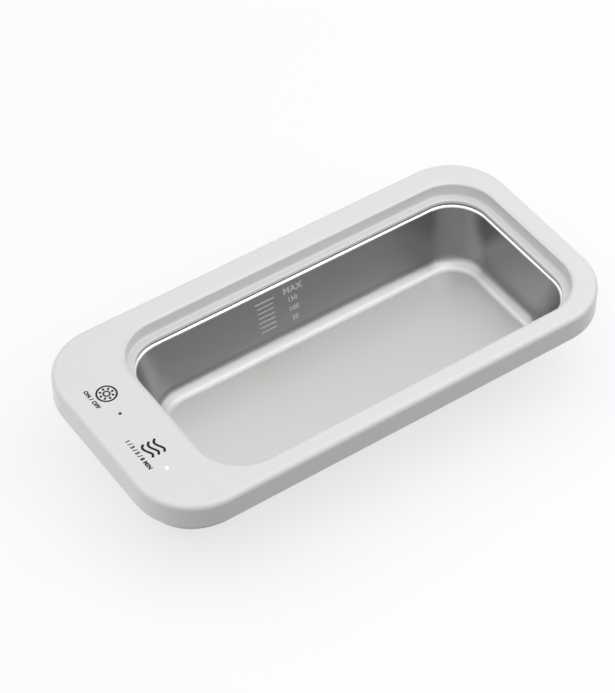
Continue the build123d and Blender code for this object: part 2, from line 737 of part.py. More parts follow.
# ---- every node -------------------------------------------------------------------------------------
nodes = {
    "upper_housing": upper_housing(),
    "lower_housing": lower_housing(),
    "tank": tank(),
    "tank_gasket": tank_gasket(),
    "clamp_frame": clamp_frame(),
    "driver_board": driver_board(),
    "driver_transformer": driver_transformer(),
    "drive_inductor": drive_inductor(),
    "filter_capacitor": filter_capacitor(),
    "film_capacitor": film_capacitor(),
    "heat_sink": heat_sink(),
    "power_transistor": power_transistor(),
    "touch_board": touch_board(),
    "touch_ribbon": touch_ribbon(),
    "power_inlet": power_inlet(),
    "inlet_pin": inlet_pin(),
    "inlet_lead": inlet_lead(),
    "contact_board": contact_board(),
    "contact_lead": contact_lead(),
    "case_screws": case_screws(),
    "clamp_screws": clamp_screws(),
    "board_screws": board_screws(),
    "touch_screws": touch_screws(),
}
for k, (x, y) in enumerate(foot_points, 1):
    nodes[f"foot_{k}"] = foot(x, y)
for k, x in enumerate(transducer_xs, 1):
    nodes[f"transducer_plate_{k}"] = rod(plate_diameter / 2, plate_z, tank_bottom, x, recess_y)
    nodes[f"piezo_disc_{k}"] = rod(piezo_diameter / 2, piezo_z, plate_z, x, recess_y)
    nodes[f"transducer_lead_{k}"] = transducer_lead(x, lead_ys[k - 1])
for k, y in enumerate(keys, 1):
    nodes[f"touch_key_pad_{k}"] = touch_key_pad(y)
for k, y in enumerate(lamps, 1):
    nodes[f"lamp_{k}"] = lamp(y)
    nodes[f"light_pipe_{k}"] = light_pipe(y)
for k, y in enumerate(contact_points(), 1):
    nodes[f"contact_barrel_{k}"] = contact_barrel(y)
    nodes[f"contact_pin_{k}"] = contact_pin(y)

os.makedirs("parts", exist_ok=True)
for name, shape in nodes.items():
    export_step(shape, f"parts/{name}.step")
print(len(nodes), "nodes written")
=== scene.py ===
"""Ultrasonic cleaner for glasses and contact lenses: finishes, printed marks and small parts."""
import math
import bpy
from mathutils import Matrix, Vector


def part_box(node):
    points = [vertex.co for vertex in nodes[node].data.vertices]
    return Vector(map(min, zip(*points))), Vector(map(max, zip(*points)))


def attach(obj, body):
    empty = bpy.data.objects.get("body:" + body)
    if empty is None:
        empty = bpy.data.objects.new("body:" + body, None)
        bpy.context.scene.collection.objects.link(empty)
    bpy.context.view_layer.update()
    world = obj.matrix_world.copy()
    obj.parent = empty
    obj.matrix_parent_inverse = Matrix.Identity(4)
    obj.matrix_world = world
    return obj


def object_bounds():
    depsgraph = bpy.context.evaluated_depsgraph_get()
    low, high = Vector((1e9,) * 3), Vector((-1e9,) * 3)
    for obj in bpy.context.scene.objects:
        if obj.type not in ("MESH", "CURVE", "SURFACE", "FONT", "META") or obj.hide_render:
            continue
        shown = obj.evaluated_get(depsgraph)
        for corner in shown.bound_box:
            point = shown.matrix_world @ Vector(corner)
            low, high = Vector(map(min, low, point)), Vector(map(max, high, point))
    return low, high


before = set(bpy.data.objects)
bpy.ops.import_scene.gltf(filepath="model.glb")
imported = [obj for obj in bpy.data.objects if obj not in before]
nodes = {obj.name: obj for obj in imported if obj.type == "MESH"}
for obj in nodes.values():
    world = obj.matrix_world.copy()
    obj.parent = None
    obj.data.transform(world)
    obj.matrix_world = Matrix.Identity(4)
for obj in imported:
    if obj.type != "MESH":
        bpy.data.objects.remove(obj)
cad_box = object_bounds()
bpy.ops.object.select_all(action="DESELECT")
MM = 0.001


# ---- Studio ------------------------------------------------------------------------------
# A pale floor under plain soft light: one broad lamp high on the left, a softbox in front on the
# right and a weak sky. The floor throws little light back up, except on the left, where it acts
# as a reflector card for the body's end.
class Socket:
    """An output in a node tree. Arithmetic on it adds Math nodes."""

    def __init__(self, tree, output):
        self.tree = tree
        self.output = output

    def __add__(self, other):
        return self.tree.math("ADD", self, other)

    def __radd__(self, other):
        return self.tree.math("ADD", other, self)

    def __sub__(self, other):
        return self.tree.math("SUBTRACT", self, other)

    def __rsub__(self, other):
        return self.tree.math("SUBTRACT", other, self)

    def __mul__(self, other):
        return self.tree.math("MULTIPLY", self, other)

    def __rmul__(self, other):
        return self.tree.math("MULTIPLY", other, self)


class Tree:
    """A node tree that grows by one node at a time."""

    def __init__(self, tree):
        self.tree = tree

    def add(self, kind, settings=None, inputs=None, output=0):
        """A node with its settings, and with values or sockets on its inputs; gives one output."""
        node = self.tree.nodes.new(kind)
        for name, value in (settings or {}).items():
            setattr(node, name, value)
        for key, value in (inputs or {}).items():
            self.join(value, node.inputs[key])
        return Socket(self, node.outputs[output])

    def join(self, value, target):
        """Puts a socket, a number or a colour on an input."""
        if isinstance(value, Socket):
            self.tree.links.new(value.output, target)
        elif target.type == "RGBA" and len(value) == 3:
            target.default_value = (*value, 1.0)
        else:
            target.default_value = value

    def math(self, operation, *values):
        """A Math node on numbers or sockets."""
        return self.add("ShaderNodeMath", {"operation": operation}, dict(enumerate(values)))

    def seen(self):
        """1 for rays that show the studio: from the camera, off metal and through clear parts."""
        straight = self.add("ShaderNodeLightPath", output="Is Camera Ray")
        mirrored = self.add("ShaderNodeLightPath", output="Is Glossy Ray")
        through = self.add("ShaderNodeLightPath", output="Is Transmission Ray")
        return self.math("MAXIMUM", self.math("MAXIMUM", straight, mirrored), through)


eye = Vector((-0.3815, -0.5374, 0.7272))
aim = Vector((-0.01324, -0.00489, 0.045))
focal_length = 131.68
sensor_width = 36.0
bpy.ops.object.camera_add(location=eye, rotation=(aim - eye).to_track_quat("-Z", "Y").to_euler())
camera = bpy.context.object
camera.data.lens = focal_length
camera.data.sensor_width = sensor_width
bpy.context.scene.camera = camera

plain_white = (1.0, 1.0, 1.0)
sky_level = 0.45
backdrop_level = 1.0
world = bpy.data.worlds.new("studio")
world.use_nodes = True
bpy.context.scene.world = world
sky = Tree(world.node_tree)
sky_light = sky.add("ShaderNodeBackground", {}, {"Color": plain_white, "Strength": sky_level})
backdrop = sky.add("ShaderNodeBackground", {}, {"Color": plain_white, "Strength": backdrop_level})
shown = sky.add("ShaderNodeMixShader", {}, {0: sky.seen(), 1: sky_light, 2: backdrop})
sky.join(shown, world.node_tree.nodes["World Output"].inputs["Surface"])

key_level = Vector((-0.10, 0.04, 0.35))
key_spread = 90
bpy.ops.object.light_add(type="SUN", rotation=(-key_level).to_track_quat("-Z", "Y").to_euler())
key_lamp = bpy.context.object
key_lamp.name = "key_lamp"
key_lamp.data.energy = math.pi * key_level.length
key_lamp.data.angle = math.radians(key_spread)

softbox_level = 0.31
softbox_size = 0.9
softbox_distance = 0.8
softbox_side = Vector((0.45, -0.42, 0.80)).normalized()
bpy.ops.object.light_add(type="AREA", location=softbox_side * softbox_distance,
                         rotation=(-softbox_side).to_track_quat("-Z", "Y").to_euler())
softbox = bpy.context.object
softbox.name = "softbox"
softbox.data.shape = "SQUARE"
softbox.data.size = softbox_size
softbox.data.energy = softbox_level * (math.pi * softbox_distance) ** 2 / softbox_side.z

floor_size = 6.0
floor_shown = (0.95, 0.95, 0.95)
floor_bounce = (0.10, 0.10, 0.10)
floor_glow = 0.70
card_bounce = (0.95, 0.95, 0.95)
card_right_edge = -0.12
card_near_edge = -0.075
bpy.ops.mesh.primitive_plane_add(size=floor_size)
floor = bpy.context.object
floor.name = "floor"
paint = bpy.data.materials.new("floor")
paint.use_nodes = True
floor_tree = Tree(paint.node_tree)
floor_point = floor_tree.add("ShaderNodeTexCoord", output="Object")
floor_x = floor_tree.add("ShaderNodeSeparateXYZ", {}, {0: floor_point}, "X")
floor_y = floor_tree.add("ShaderNodeSeparateXYZ", {}, {0: floor_point}, "Y")
on_card = (floor_tree.math("LESS_THAN", floor_x, card_right_edge)
           * floor_tree.math("GREATER_THAN", floor_y, card_near_edge))
dim_skin = floor_tree.add("ShaderNodeBsdfDiffuse", {}, {"Color": floor_bounce})
card_skin = floor_tree.add("ShaderNodeBsdfDiffuse", {}, {"Color": card_bounce})
bounce_skin = floor_tree.add("ShaderNodeMixShader", {}, {0: on_card, 1: dim_skin, 2: card_skin})
shown_skin = floor_tree.add("ShaderNodeBsdfDiffuse", {}, {"Color": floor_shown})
floor_skin = floor_tree.add("ShaderNodeMixShader", {},
                            {0: floor_tree.seen(), 1: bounce_skin, 2: shown_skin})
floor_light = floor_tree.add("ShaderNodeEmission", {}, {"Color": plain_white, "Strength": 1.0})
floor_mix = floor_tree.add("ShaderNodeMixShader", {},
                           {0: floor_tree.seen() * floor_glow, 1: floor_skin, 2: floor_light})
floor_tree.join(floor_mix, paint.node_tree.nodes["Material Output"].inputs["Surface"])
floor.data.materials.append(paint)
bpy.context.scene.view_settings.view_transform = "Standard"


# ---- Lower housing ------------------------------------------------------------------------
# The hull that carries the driver board and the weight. It is moulded in the same white
# plastic as the top, left with a fine matt texture from the tool, and screwed on from below.
class Finish(Tree):
    """A material with one principled surface, patterned by the object's own coordinates."""

    def __init__(self, name):
        self.material = bpy.data.materials.new(name)
        self.material.use_nodes = True
        super().__init__(self.material.node_tree)
        self.surface = self.tree.nodes["Principled BSDF"]
        self.point = self.add("ShaderNodeTexCoord", output="Object")

    def along(self, axis):
        """The place along one of the object's own axes, in metres."""
        return self.add("ShaderNodeSeparateXYZ", {}, {0: self.point}, axis)

    def noise(self, size, detail=2.0, stretch=(1.0, 1.0, 1.0)):
        """Noise between 0 and 1, in patches about size metres across, longer where stretched."""
        scale = tuple(1.0 / s for s in stretch)
        place = self.add("ShaderNodeMapping", {}, {"Vector": self.point, "Scale": scale})
        return self.add("ShaderNodeTexNoise", {},
                        {"Vector": place, "Scale": 1.0 / size, "Detail": detail})

    def ramp(self, value, low, high):
        """0 where value is under low and 1 where it is over high, smooth between."""
        return self.add("ShaderNodeMapRange", {"interpolation_type": "SMOOTHSTEP"},
                        {"Value": value, "From Min": low, "From Max": high})

    def tint(self, mask, low, high):
        """A colour that goes from low to high with the mask."""
        return self.add("ShaderNodeMix", {"data_type": "RGBA"}, {0: mask, 6: low, 7: high}, 2)

    def set(self, **inputs):
        """Values or sockets for the surface; an underscore in a name stands for a space."""
        for name, value in inputs.items():
            self.join(value, self.surface.inputs[name.replace("_", " ")])
        return self

    def relief(self, height, depth):
        """Raises the surface by height times depth metres."""
        bump = self.add("ShaderNodeBump", {}, {"Height": height, "Distance": depth}, "Normal")
        return self.set(Normal=bump)


def shade(colour, share):
    """The same colour, darker or lighter."""
    return tuple(c * share for c in colour)


def moulding(name, colour, roughness, grain, depth, unevenness=0.03):
    """Moulded plastic: faint clouds in the colour and the tool's texture on the skin."""
    made = Finish(name)
    clouds = made.noise(14 * MM)
    skin = made.noise(grain, detail=3.0)
    made.set(Base_Color=made.tint(clouds, shade(colour, 1.0 - unevenness), colour),
             Roughness=roughness + 0.12 * (skin - 0.5))
    return made.relief(skin, depth)


def dress(finish, *names):
    """Gives CAD nodes their finish."""
    for name in names:
        for slot in nodes[name].material_slots:
            slot.material = finish.material


white = (0.74, 0.74, 0.73)
base_shade = 0.97
dress(moulding("white_base", shade(white, base_shade),
               roughness=0.55, grain=0.45 * MM, depth=0.010 * MM),
      "lower_housing")


# ---- Feet ---------------------------------------------------------------------------------
# Four round pads of black rubber, glued into shallow pockets in the hull's underside. Their
# coarse matt skin keeps the cleaner from walking as it buzzes.
feet = [name for name in nodes if name.startswith("foot_")]
dress(moulding("foot_rubber", (0.045, 0.045, 0.045),
               roughness=0.75, grain=0.6 * MM, depth=0.02 * MM),
      *feet)


# ---- Screws -------------------------------------------------------------------------------
# Self-tapping steel screws for the case, the clamp frame and the boards. Zinc plating leaves
# them a bright, slightly cloudy grey.
def metal(name, colour, roughness, grain, stretch=(1.0, 1.0, 1.0), depth=0.002 * MM):
    """Bare or plated metal: the grain changes its gloss and lies as fine relief."""
    made = Finish(name)
    streaks = made.noise(grain, detail=3.0, stretch=stretch)
    clouds = made.noise(9 * MM)
    made.set(Base_Color=made.tint(clouds, shade(colour, 0.92), colour), Metallic=1.0,
             Roughness=roughness + 0.16 * (streaks - 0.5) + 0.06 * (clouds - 0.5))
    return made.relief(streaks, depth)


dress(metal("screw_zinc", (0.60, 0.61, 0.63), roughness=0.34, grain=0.5 * MM),
      "case_screws", "clamp_screws", "board_screws", "touch_screws")


# ---- Boards -------------------------------------------------------------------------------
# Glass-fibre boards under green solder mask. The copper tracks show through as a lighter,
# slightly raised net, and the cut edges are the same green.
board_green = Finish("board_green")
bare_green = (0.010, 0.095, 0.040)
track_green = (0.030, 0.200, 0.085)
track_pitch = 2.6 * MM
track_edge = (0.04, 0.10)
track_net = board_green.add("ShaderNodeMapping", {},
                            {"Vector": board_green.point, "Scale": (1.0 / track_pitch,) * 3})
track_distance = board_green.add("ShaderNodeTexVoronoi",
                                 {"distance": "MANHATTAN", "feature": "DISTANCE_TO_EDGE"},
                                 {"Vector": track_net, "Scale": 1.0})
tracks = 1.0 - board_green.ramp(track_distance, *track_edge)
board_green.set(Base_Color=board_green.tint(tracks, bare_green, track_green),
                Roughness=0.28 + 0.10 * board_green.noise(2 * MM))
dress(board_green.relief(tracks, 0.03 * MM), "driver_board", "touch_board", "contact_board")


# ---- Parts on the driver board ------------------------------------------------------------
# A ferrite transformer and a choke drive the transducers. The capacitors are a sleeved can
# and a moulded box, and the transistor leans on an extruded heat sink.
dress(moulding("ferrite", (0.030, 0.030, 0.033),
               roughness=0.62, grain=0.4 * MM, depth=0.03 * MM, unevenness=0.2),
      "driver_transformer", "drive_inductor")
dress(moulding("capacitor_sleeve", (0.015, 0.022, 0.070),
               roughness=0.25, grain=3.0 * MM, depth=0.01 * MM),
      "filter_capacitor")
dress(moulding("capacitor_box", (0.36, 0.030, 0.018),
               roughness=0.30, grain=1.0 * MM, depth=0.01 * MM),
      "film_capacitor")
dress(moulding("transistor_case", (0.012, 0.012, 0.013),
               roughness=0.45, grain=0.3 * MM, depth=0.01 * MM),
      "power_transistor")
dress(metal("sink_aluminium", (0.72, 0.72, 0.73),
            roughness=0.36, grain=0.35 * MM, stretch=(1.0, 1.0, 30.0)),
      "heat_sink")


# ---- Transformer winding ------------------------------------------------------------------
# Enamelled copper wound round the core's middle leg and wrapped in clear amber tape. The coil
# fills the core's two windows and stands a little proud at its ends.
def start(name):
    """Leaves edit mode with the newest object named."""
    if bpy.context.mode != "OBJECT":
        bpy.ops.object.mode_set(mode="OBJECT")
    made = bpy.context.object
    made.name = name
    made.data.name = name
    return made


def raise_faces(height):
    """Pulls the flat outline that is being edited up into a solid, with its faces outwards."""
    bpy.ops.mesh.select_all(action="SELECT")
    bpy.ops.mesh.extrude_region_move(TRANSFORM_OT_translate={"value": (0, 0, height)})
    bpy.ops.mesh.select_all(action="SELECT")
    bpy.ops.mesh.normals_make_consistent(inside=False)


def choose(piece):
    """Selects one piece and nothing else."""
    bpy.ops.object.select_all(action="DESELECT")
    piece.select_set(True)
    bpy.context.view_layer.objects.active = piece


def settle(piece, finish):
    """Puts the piece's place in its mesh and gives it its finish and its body."""
    choose(piece)
    bpy.ops.object.transform_apply(location=True, rotation=True, scale=True)
    bpy.ops.object.shade_smooth_by_angle(angle=math.radians(35))
    piece.data.materials.clear()
    piece.data.materials.append(finish.material)
    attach(piece, "base")
    bpy.ops.object.select_all(action="DESELECT")


def middle(node):
    """The middle of a CAD node's box."""
    low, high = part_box(node)
    return (low + high) / 2


core = middle("driver_transformer")
coil_size = Vector((9.4, 8.3, 8.3)) * MM
coil_wall = 1.8 * MM
coil_corner = 0.9 * MM
bpy.ops.mesh.primitive_plane_add(size=1.0, location=core - Vector((0, 0, coil_size.z / 2)))
bpy.ops.object.mode_set(mode="EDIT")
bpy.ops.transform.resize(value=(coil_size.x, coil_size.y, 1.0))
bpy.ops.mesh.bevel(offset=coil_corner, segments=5, affect="VERTICES")
bpy.ops.mesh.inset(thickness=coil_wall)
bpy.ops.mesh.delete(type="FACE")
raise_faces(coil_size.z)
coil = start("transformer_winding")

tape_pitch = 0.5 * MM
tape = moulding("amber_tape", (0.62, 0.36, 0.05),
                roughness=0.22, grain=1.4 * MM, depth=0.004 * MM, unevenness=0.10)
tape_turns = tape.math("SINE", tape.along("Z") * (math.tau / tape_pitch))
settle(coil, tape.relief(tape_turns, 0.03 * MM))


# ---- Inductor winding ---------------------------------------------------------------------
# One layer of enamelled copper wire in the groove of the choke's drum core, each turn lying
# against the next. It fills the groove from flange to flange.
def in_row(piece, count, step):
    """Repeats the piece's shape in its own mesh, one step after the other."""
    row = piece.modifiers.new("row", "ARRAY")
    row.count = count
    row.use_relative_offset = False
    row.use_constant_offset = True
    row.constant_offset_displace = step
    bpy.ops.object.modifier_apply(modifier="row")


drum_low, drum_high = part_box("drive_inductor")
drum = middle("drive_inductor")
drum_size = drum_high - drum_low
flange = drum_size.z / 6
turns = 8
wire = (drum_size.z - 2 * flange) / turns
first_turn = (drum.x + (drum_size.x - flange) / 2, drum.y, drum_low.z + flange + wire / 2)
bpy.ops.mesh.primitive_circle_add(vertices=12, radius=wire / 2, location=first_turn,
                                  rotation=(math.radians(90), 0, 0))
bpy.ops.object.mode_set(mode="EDIT")
bpy.ops.mesh.spin(steps=48, angle=math.tau, center=drum, axis=(0, 0, 1))
bpy.ops.mesh.select_all(action="SELECT")
bpy.ops.mesh.remove_doubles(threshold=0.01 * MM)
bpy.ops.mesh.normals_make_consistent(inside=False)
winding = start("inductor_winding")
in_row(winding, turns, (0, 0, wire))
settle(winding, metal("copper_wire", (0.62, 0.27, 0.12),
                      roughness=0.30, grain=0.25 * MM, depth=0.001 * MM))


# ---- Driver chip --------------------------------------------------------------------------
# The control chip is a black moulded body with four bent tinned legs down each side, which
# stand on the board and are soldered by machine.
def copied(piece, name, shift=(0, 0, 0)):
    """A copy of the piece with a mesh of its own, moved by shift."""
    choose(piece)
    bpy.ops.object.duplicate(linked=False)
    bpy.ops.transform.translate(value=shift)
    return start(name)


board_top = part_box("driver_board")[1].z
board_mid = middle("driver_board")
chip_size = Vector((4.0, 5.2, 1.5)) * MM
chip_edge = 0.18 * MM
chip_lift = 0.15 * MM
chip_shift = Vector((5.5, -19.0)) * MM
chip_place = Vector((board_mid.x + chip_shift.x, board_mid.y + chip_shift.y,
                     board_top + chip_lift + chip_size.z / 2))
bpy.ops.mesh.primitive_cube_add(size=1.0, location=chip_place)
bpy.ops.object.mode_set(mode="EDIT")
bpy.ops.transform.resize(value=chip_size)
bpy.ops.mesh.bevel(offset=chip_edge, segments=2, affect="EDGES")
chip = start("control_chip")
settle(chip, moulding("chip_epoxy", (0.020, 0.020, 0.021),
                      roughness=0.50, grain=0.15 * MM, depth=0.006 * MM))

leg_pitch = 1.27 * MM
legs_per_side = 4
leg_width = 0.42 * MM
leg_height = 0.75 * MM
leg_sheet = 0.16 * MM
leg_shoulder = 0.50 * MM
leg_reach = 0.15 * MM
leg_splay = 0.10 * MM
leg_foot = 0.60 * MM
first_leg = (chip_place.x - chip_size.x / 2 - leg_reach,
             chip_place.y - leg_pitch * (legs_per_side - 1) / 2,
             board_top + leg_height)
bpy.ops.mesh.primitive_plane_add(size=1.0, location=first_leg)
bpy.ops.object.mode_set(mode="EDIT")
bpy.ops.transform.resize(value=(leg_shoulder, leg_width, 1.0))
bpy.ops.mesh.select_mode(type="EDGE")
bpy.ops.mesh.select_all(action="DESELECT")
legs = start("chip_legs_left")
for edge in legs.data.edges:
    edge.select = all(legs.data.vertices[end].co.x < 0 for end in edge.vertices)
bpy.ops.object.mode_set(mode="EDIT")
bpy.ops.mesh.extrude_region_move(
    TRANSFORM_OT_translate={"value": (-leg_splay, 0, leg_sheet - leg_height)})
bpy.ops.mesh.extrude_region_move(TRANSFORM_OT_translate={"value": (-leg_foot, 0, 0)})
bpy.ops.mesh.select_mode(type="FACE")
bpy.ops.mesh.select_all(action="SELECT")
bpy.ops.mesh.normals_make_consistent(inside=False)
bpy.ops.object.mode_set(mode="OBJECT")
sheet = legs.modifiers.new("sheet", "SOLIDIFY")
sheet.thickness = leg_sheet
sheet.offset = 0.0
bpy.ops.object.modifier_apply(modifier="sheet")
in_row(legs, legs_per_side, (0, leg_pitch, 0))

legs_opposite = copied(legs, "chip_legs_right")
bpy.ops.transform.rotate(value=math.pi, orient_axis="Z", center_override=chip_place)
tin = metal("tinned_leg", (0.66, 0.66, 0.67), roughness=0.28, grain=0.2 * MM)
settle(legs, tin)
settle(legs_opposite, tin)


# ---- Resistors ----------------------------------------------------------------------------
# Five ceramic chips in a row on the driver board, glazed black, with a tinned cap at each end.
# The caps stand a little proud of the body and are soldered by machine.
resistors = 5
resistor_pitch = 2.7 * MM
resistor_size = Vector((1.25, 2.0, 0.55)) * MM
resistor_corner = 0.08 * MM
resistor_lift = 0.02 * MM
resistor_x = board_mid.x - resistor_pitch * (resistors - 1) / 2
resistor_y = board_mid.y + 18.6 * MM
cap_length = 0.4 * MM
cap_proud = 0.04 * MM
cap_shift = (resistor_size.y - cap_length) / 2


def resistor_row(name, middle_y, width, length, height):
    """Like blocks in a row along the board's width, standing on it, with rounded corners."""
    bpy.ops.mesh.primitive_plane_add(size=1.0,
                                     location=(resistor_x, middle_y, board_top + resistor_lift))
    bpy.ops.object.mode_set(mode="EDIT")
    bpy.ops.transform.resize(value=(width, length, 1.0))
    bpy.ops.mesh.bevel(offset=resistor_corner, segments=2, affect="VERTICES")
    raise_faces(height)
    made = start(name)
    in_row(made, resistors, (resistor_pitch, 0, 0))
    return made


bodies = resistor_row("resistor_bodies", resistor_y, *resistor_size)
settle(bodies, moulding("resistor_glaze", (0.030, 0.030, 0.032),
                        roughness=0.35, grain=0.2 * MM, depth=0.004 * MM))
near_caps = resistor_row("resistor_caps_near", resistor_y - cap_shift,
                         resistor_size.x + 2 * cap_proud, cap_length, resistor_size.z + cap_proud)
far_caps = copied(near_caps, "resistor_caps_far", (0, 2 * cap_shift, 0))
settle(near_caps, tin)
settle(far_caps, tin)


# ---- Transducers --------------------------------------------------------------------------
# Two silvered ceramic discs, each glued to an aluminium plate that is glued to the tank's
# underside. The silver is screen-printed and fired, so it is matt and a little uneven.
dress(metal("plate_aluminium", (0.74, 0.74, 0.75),
            roughness=0.30, grain=0.3 * MM, stretch=(25.0, 1.0, 1.0)),
      "transducer_plate_1", "transducer_plate_2")
dress(metal("piezo_silver", (0.80, 0.78, 0.73),
            roughness=0.48, grain=0.7 * MM, depth=0.006 * MM),
      "piezo_disc_1", "piezo_disc_2")


# ---- Leads and ribbon ---------------------------------------------------------------------
# Soft PVC-covered wires: red to the transducers, black to the inlet and to the contacts. The
# ribbon to the touch board is a flat grey cable with its conductors showing as ridges, and the
# grooves between them painted darker as painted shade.
dress(moulding("lead_red", (0.42, 0.018, 0.014),
               roughness=0.40, grain=1.2 * MM, depth=0.01 * MM),
      "transducer_lead_1", "transducer_lead_2")
dress(moulding("lead_black", (0.018, 0.018, 0.019),
               roughness=0.40, grain=1.2 * MM, depth=0.01 * MM),
      "inlet_lead", "contact_lead")

ribbon = Finish("ribbon_grey")
conductor_pitch = 1.0 * MM
conductor_edge = 0.6
groove_shade_grey = (0.42, 0.42, 0.41)
ridge_grey = (0.62, 0.62, 0.60)
ridge = ribbon.math("SINE", ribbon.along("Y") * (math.tau / conductor_pitch))
# Painted shade: the grooves between the conductors are painted a darker grey.
ribbon.set(Base_Color=ribbon.tint(ribbon.ramp(ridge, -conductor_edge, conductor_edge),
                                  groove_shade_grey, ridge_grey),
           Roughness=0.42 + 0.10 * ribbon.noise(1.5 * MM))
dress(ribbon.relief(ridge, 0.05 * MM), "touch_ribbon")


# ---- Tank ---------------------------------------------------------------------------------
# A pan drawn from stainless steel sheet. The walls keep faint upright marks from the draw and
# the floor a satin grain along its length. The walls, and the bend where they meet the floor, are
# painted a darker steel than the floor as painted shade. The flange is hidden under the ledge,
# but its rounded lip shows as a bright line: polished, and painted paler as a painted highlight.
steel = Finish("tank_steel")
floor_steel = (0.52, 0.52, 0.51)
shaded_wall_steel = (0.36, 0.36, 0.358)
lip_highlight_steel = (0.78, 0.78, 0.77)
tank_sheet = 0.8 * MM
tank_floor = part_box("tank")[0].z + tank_sheet
tank_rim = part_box("tank")[1].z
fillet_shade_rise = 0.7 * MM
lip_band = (1.1 * MM, 0.5 * MM)
tank_height = steel.along("Z")
# Painted shade: from the floor up through its bend, the walls take the darker steel colour; the
# same mask also switches the floor's satin grain to the walls' draw marks.
wall = steel.ramp(tank_height, tank_floor, tank_floor + fillet_shade_rise)
# Painted highlight: the lip is painted paler steel; its lower roughness is the real polish.
lip = steel.ramp(tank_height, tank_rim - lip_band[0], tank_rim - lip_band[1])
draw_marks = steel.noise(0.45 * MM, stretch=(1.0, 1.0, 30.0))
satin = steel.noise(0.16 * MM, stretch=(70.0, 1.0, 1.0))
grain = steel.add("ShaderNodeMix", {"data_type": "FLOAT"}, {0: wall, 2: satin, 3: draw_marks})
stains = steel.noise(22 * MM)
plain = steel.tint(wall, floor_steel, shaded_wall_steel)
steel.set(Base_Color=steel.tint(lip, plain, lip_highlight_steel), Metallic=1.0,
          Roughness=0.34 + 0.10 * (grain - 0.5) + 0.05 * (stains - 0.5) - 0.14 * lip)
dress(steel.relief(grain, 0.003 * MM), "tank")


# ---- Tank gasket and clamp frame ----------------------------------------------------------
# A die-cut silicone seal lies on the flange, and a dark moulded frame with screws all round
# presses the flange up against the ledge.
dress(moulding("gasket_silicone", (0.30, 0.31, 0.31),
               roughness=0.60, grain=0.5 * MM, depth=0.008 * MM),
      "tank_gasket")
dress(moulding("clamp_plastic", (0.035, 0.035, 0.037),
               roughness=0.55, grain=0.5 * MM, depth=0.012 * MM),
      "clamp_frame")


# ---- Upper housing ------------------------------------------------------------------------
# The white moulding that shows: panel, rim, lid recess and ledge. Its skin is satin, finer
# than the hull's, with a little gloss.
housing_skin = moulding("white_housing", white,
                        roughness=0.38, grain=0.30 * MM, depth=0.0025 * MM, unevenness=0.015)
housing_skin.set(Coat_Weight=0.6, Coat_Roughness=0.10, Specular_IOR_Level=0.25)
dress(housing_skin, "upper_housing")


# ---- Key marks ----------------------------------------------------------------------------
# Black ink, pad-printed on the panel over the touch pads: a lamp in a ring for the disinfecting
# light and three rising waves for the cleaner. The film lies half sunk in the skin.
ink = moulding("black_ink", (0.007, 0.007, 0.008),
               roughness=0.60, grain=0.4 * MM, depth=0.001 * MM, unevenness=0.15)
ink.set(Specular_IOR_Level=0.25)
ink_depth = 0.04 * MM
panel_end = cad_box[0][0]
panel_top = cad_box[1][2]
print_base = panel_top - ink_depth / 2


def printed_ring(name, centre, radius, width):
    """A flat ring: a filled circle, inset by the line's width, without its middle."""
    bpy.ops.mesh.primitive_circle_add(vertices=72, radius=radius, fill_type="NGON",
                                      location=(*centre, print_base))
    bpy.ops.object.mode_set(mode="EDIT")
    bpy.ops.mesh.inset(thickness=width)
    bpy.ops.mesh.delete(type="FACE")
    raise_faces(ink_depth)
    return start(name)


uv_middle = Vector((panel_end + 14.7 * MM, 17.25 * MM))
uv_ring = printed_ring("uv_key_ring", uv_middle, radius=4.12 * MM, width=0.72 * MM)
settle(uv_ring, ink)
uv_lamp = printed_ring("uv_key_lamp", uv_middle, radius=1.52 * MM, width=0.64 * MM)
settle(uv_lamp, ink)

rays = 8
ray_distance = 2.45 * MM
ray_size = Vector((1.08, 0.86)) * MM
ray_corner = 0.20 * MM
bpy.ops.mesh.primitive_plane_add(size=1.0, location=(*uv_middle, print_base))
bpy.ops.object.mode_set(mode="EDIT")
bpy.ops.transform.resize(value=(*ray_size, 1.0))
bpy.ops.mesh.bevel(offset=ray_corner, segments=3, affect="VERTICES")
raise_faces(ink_depth)
bpy.ops.transform.translate(value=(ray_distance, 0, 0))
for turn in range(1, rays):
    bpy.ops.mesh.duplicate()
    bpy.ops.transform.rotate(value=math.tau / rays, orient_axis="Z",
                             center_override=(*uv_middle, panel_top))
uv_rays = start("uv_key_rays")
settle(uv_rays, ink)

waves = 3
wave_width = 0.98 * MM
wave_pitch = 2.45 * MM
wave_start = Vector((panel_end + 12.6 * MM, -11.2 * MM))
wave_bends = ((0, 0), (-1.35, -0.9), (-1.25, -2.6), (-0.1, -4.7), (0.55, -6.1), (-0.5, -7.2))
bpy.ops.curve.primitive_nurbs_path_add(location=(0, 0, 0))
path = bpy.context.object.data
path.splines.clear()
line = path.splines.new("NURBS")
line.points.add(len(wave_bends) - 1)
for point, bend in zip(line.points, wave_bends):
    point.co = (*(wave_start + Vector(bend) * MM), 0.0, 1.0)
line.order_u = 3
line.use_endpoint_u = True
path.bevel_depth = wave_width / 2
path.bevel_resolution = 3
path.use_fill_caps = True
bpy.ops.object.convert(target="MESH")
first_wave = start("wave_key_line_1")
first_wave.scale.z = ink_depth / first_wave.dimensions.z
first_wave.location.z = panel_top
wave_lines = [first_wave] + [
    copied(first_wave, "wave_key_line_%d" % (count + 1), (wave_pitch * count, 0, 0))
    for count in range(1, waves)]
for wave_line in wave_lines:
    settle(wave_line, ink)


